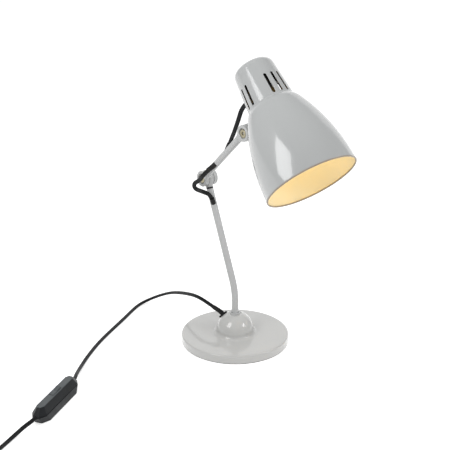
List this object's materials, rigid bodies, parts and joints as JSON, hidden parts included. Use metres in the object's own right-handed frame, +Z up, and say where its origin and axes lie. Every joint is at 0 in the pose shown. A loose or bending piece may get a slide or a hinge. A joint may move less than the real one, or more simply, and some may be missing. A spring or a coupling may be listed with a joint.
{
  "type": "articulated desk lamp",
  "caption": "Enamelled desk lamp on a round base, with a two-part swing arm, a tilting bell shade with vent slots, and an inline rocker switch on its lead.",
  "frame": {"origin": "centre of the base's underside, on the table", "axes": "+Z up, the arms fold in the XZ plane and the shade points to +X"},
  "size_m": [0.397, 0.5839, 0.4344],
  "materials": {
    "cover_enamel": "gloss",
    "arm_enamel": "gloss",
    "shade_enamel": "gloss",
    "cast_weight": "matte",
    "pad_rubber": "matte",
    "bush_steel": "satin",
    "screw_steel": "polished",
    "black_plastic": "matte",
    "switch_grey": "satin",
    "bushing_plastic": "satin",
    "flex_rubber": "satin",
    "holder_plastic": "gloss",
    "bulb_glass": "polished",
    "bulb_metal": "satin",
    "pin_brass": "polished"
  },
  "bodies": {
    "base": {"base_cover": "cover_enamel", "base_weight": "cast_weight", "base_pad": "pad_rubber", "swivel_bush": "bush_steel", "swivel_grub_screw": "bush_steel", "dome_ring_nut": "bush_steel", "bush_screws": "bush_steel", "lead_bushing": "bushing_plastic", "base_flex": "flex_rubber", "mains_lead": "flex_rubber", "switch_top": "switch_grey", "switch_bottom": "switch_grey", "switch_screws": "bush_steel", "switch_contacts": "pin_brass", "switch_pin": "bush_steel", "switch_lead": "flex_rubber", "mains_coil": "flex_rubber", "coil_tie": "black_plastic", "plug_tail": "flex_rubber", "plug_body": "black_plastic", "plug_pins": "pin_brass"},
    "rocker": {"switch_rocker": "black_plastic"},
    "lower_arm": {"lower_tube": "arm_enamel", "lower_tongue": "arm_enamel", "lower_band": "black_plastic", "lower_sleeve": "black_plastic", "stem_flex": "flex_rubber", "elbow_cable": "flex_rubber"},
    "upper_arm": {"upper_tube": "arm_enamel", "elbow_hub": "arm_enamel", "elbow_band": "black_plastic", "elbow_screw": "screw_steel", "elbow_washers": "black_plastic", "elbow_cap_nut": "arm_enamel", "head_hub": "arm_enamel", "head_band": "black_plastic", "head_screw": "screw_steel", "head_washers": "black_plastic", "head_cap_nut": "arm_enamel", "upper_sleeve": "black_plastic", "back_sleeve": "black_plastic", "arm_flex": "flex_rubber", "head_cable": "flex_rubber"},
    "head": {"shade": "shade_enamel", "shade_bracket": "arm_enamel", "bracket_screws": "bush_steel", "bracket_nuts": "bush_steel", "neck_bushing": "holder_plastic", "cap_nut": "bush_steel", "holder_nipple": "bush_steel", "lampholder": "holder_plastic", "holder_ring": "holder_plastic", "bulb_cap": "bulb_metal", "bulb_glass": "bulb_glass"}
  },
  "joints": [
    {"name": "swivel", "type": "hinge", "parent": "base", "child": "lower_arm", "pos_m": [0, 0, 0.0297], "axis": [0, 0, 1], "range_deg": [-160, 160]},
    {"name": "elbow", "type": "hinge", "parent": "lower_arm", "child": "upper_arm", "pos_m": [-0.0669, 0, 0.2385], "axis": [0, 1, 0], "range_deg": [-65, 35], "deforming": ["elbow_cable"]},
    {"name": "head_tilt", "type": "hinge", "parent": "upper_arm", "child": "head", "pos_m": [0.02794, 0, 0.32682], "axis": [0, 1, 0], "range_deg": [-70, 40], "deforming": ["head_cable"]},
    {"name": "rocker", "type": "hinge", "parent": "base", "child": "rocker", "pos_m": [0.0059, -0.3075, 0.0171], "axis": [0.8392, 0.5438, 0], "range_deg": [-14, 0]}
  ]
}
